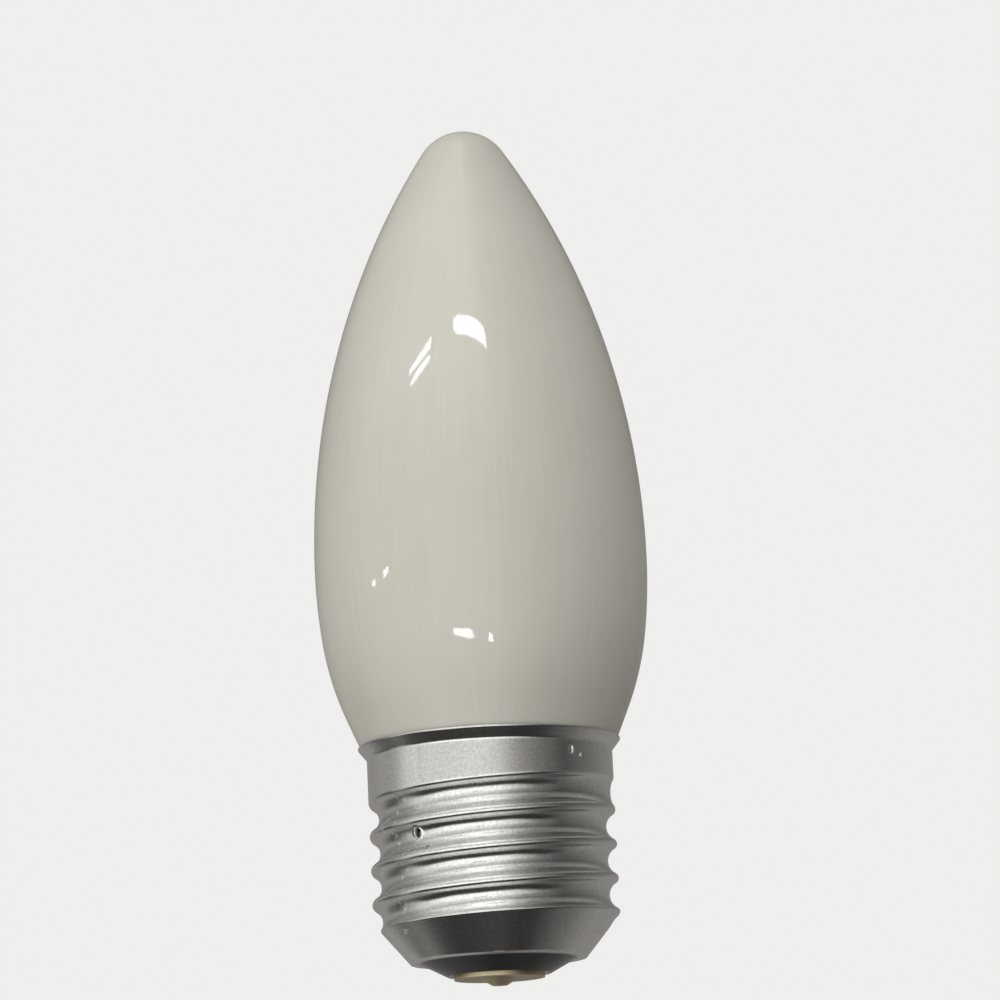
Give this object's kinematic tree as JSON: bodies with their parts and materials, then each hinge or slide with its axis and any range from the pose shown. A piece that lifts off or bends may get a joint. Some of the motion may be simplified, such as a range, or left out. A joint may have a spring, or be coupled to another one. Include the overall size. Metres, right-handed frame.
{
  "type": "candle light bulb",
  "caption": "Sealed opal candle bulb with a rounded point, held in a drawn aluminium screw cap with a rolled right-hand thread, a black insulator and a centre contact.",
  "frame": {"origin": "centre of the flat at the end of the centre contact", "axes": "+Z along the bulb's axis from the contact to the tip of the glass; -Y is the side the picture shows"},
  "size_m": [0.0358, 0.0358, 0.0938],
  "materials": {
    "opal_glass": "blown opal glass with a smooth gloss",
    "drawn_aluminium": "drawn and rolled sheet with a satin sheen",
    "black_glass": "poured black glass with a gloss",
    "contact_metal": "pressed plate, tinned over the pip"
  },
  "bodies": {
    "root": {"glass_bulb": "opal_glass", "screw_shell": "drawn_aluminium", "insulator": "black_glass", "centre_contact": "contact_metal"}
  },
  "joints": []
}
